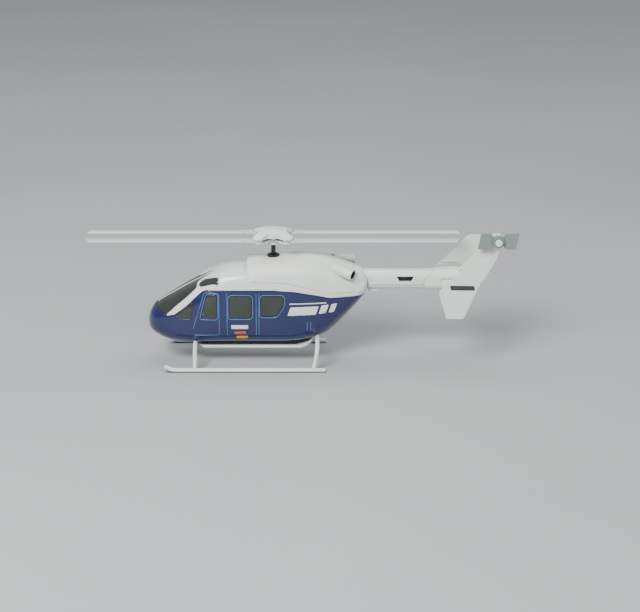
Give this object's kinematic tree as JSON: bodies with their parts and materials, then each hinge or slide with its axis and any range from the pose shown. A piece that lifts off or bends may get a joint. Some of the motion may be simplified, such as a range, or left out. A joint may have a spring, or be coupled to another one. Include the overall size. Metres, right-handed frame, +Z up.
{
  "type": "toy helicopter",
  "caption": "Small scale-model helicopter on skids, with a spinning main rotor whose blades fold back for the box, a spinning tail rotor and a twin-endplate tail.",
  "frame": {"origin": "on the ground plane, at the middle of the whole model's box", "axes": "+X from nose to tail, +Y to starboard, +Z up along the main rotor mast"},
  "size_m": [0.2442, 0.0506, 0.0775],
  "materials": {
    "blue_paint": "glossy deep blue enamel over cast metal",
    "white_paint": "glossy off-white enamel over cast metal",
    "white_plastic": "moulded off-white, semi-gloss",
    "glazing": "dark tinted, glossy",
    "dark_plastic": "matt black moulding",
    "interior_plastic": "matt dark grey moulding",
    "dark_metal": "blackened steel shaft",
    "steel": "plain steel",
    "rotor_plastic": "pale grey moulding, satin"
  },
  "bodies": {
    "airframe": {"cabin_shell": "blue_paint", "cabin_roof": "white_paint", "base_plate": "white_plastic", "base_screws": "steel", "windscreen": "glazing", "side_glazing_port": "glazing", "side_glazing_starboard": "glazing", "eyebrow_windows": "glazing", "engine_cowl": "white_plastic", "exhaust_port": "white_plastic", "exhaust_starboard": "white_plastic", "cabin_floor": "dark_plastic", "seat_port": "interior_plastic", "seat_starboard": "interior_plastic", "rear_bench": "interior_plastic", "instrument_panel": "dark_plastic", "tail_boom": "white_plastic", "centre_fin": "white_plastic", "stabiliser": "white_plastic", "endplate_port": "white_plastic", "endplate_starboard": "white_plastic", "cross_tube_front": "white_plastic", "cross_tube_rear": "white_plastic", "skid_port": "white_plastic", "skid_starboard": "white_plastic", "mast_bush": "dark_plastic", "tail_rotor_pin": "white_plastic"},
    "rotor_head": {"mast": "dark_metal", "hub_plate": "white_plastic", "hub_cap": "white_plastic", "blade_pins": "steel"},
    "fore_port_blade": {"blade_fore_port": "rotor_plastic"},
    "aft_port_blade": {"blade_aft_port": "rotor_plastic"},
    "fore_starboard_blade": {"blade_fore_starboard": "rotor_plastic"},
    "aft_starboard_blade": {"blade_aft_starboard": "rotor_plastic"},
    "tail_rotor": {"tail_rotor": "rotor_plastic"}
  },
  "joints": [
    {"name": "main_rotor_spin", "type": "hinge", "parent": "airframe", "child": "rotor_head", "pos_m": [-0.0164, 0, 0.065], "axis": [0, 0, 1], "continuous": true},
    {"name": "fore_port_fold", "type": "hinge", "parent": "rotor_head", "child": "fore_port_blade", "pos_m": [-0.0244, -0.008, 0.073], "axis": [0, 0, 1], "range_deg": [0, 45]},
    {"name": "aft_port_fold", "type": "hinge", "parent": "rotor_head", "child": "aft_port_blade", "pos_m": [-0.0084, -0.008, 0.073], "axis": [0, 0, 1], "range_deg": [-45, 0]},
    {"name": "fore_starboard_fold", "type": "hinge", "parent": "rotor_head", "child": "fore_starboard_blade", "pos_m": [-0.0244, 0.008, 0.073], "axis": [0, 0, 1], "range_deg": [-45, 0]},
    {"name": "aft_starboard_fold", "type": "hinge", "parent": "rotor_head", "child": "aft_starboard_blade", "pos_m": [-0.0084, 0.008, 0.073], "axis": [0, 0, 1], "range_deg": [0, 45]},
    {"name": "tail_rotor_spin", "type": "hinge", "parent": "airframe", "child": "tail_rotor", "pos_m": [0.1106, -0.0055, 0.0714], "axis": [0, 1, 0], "continuous": true}
  ]
}
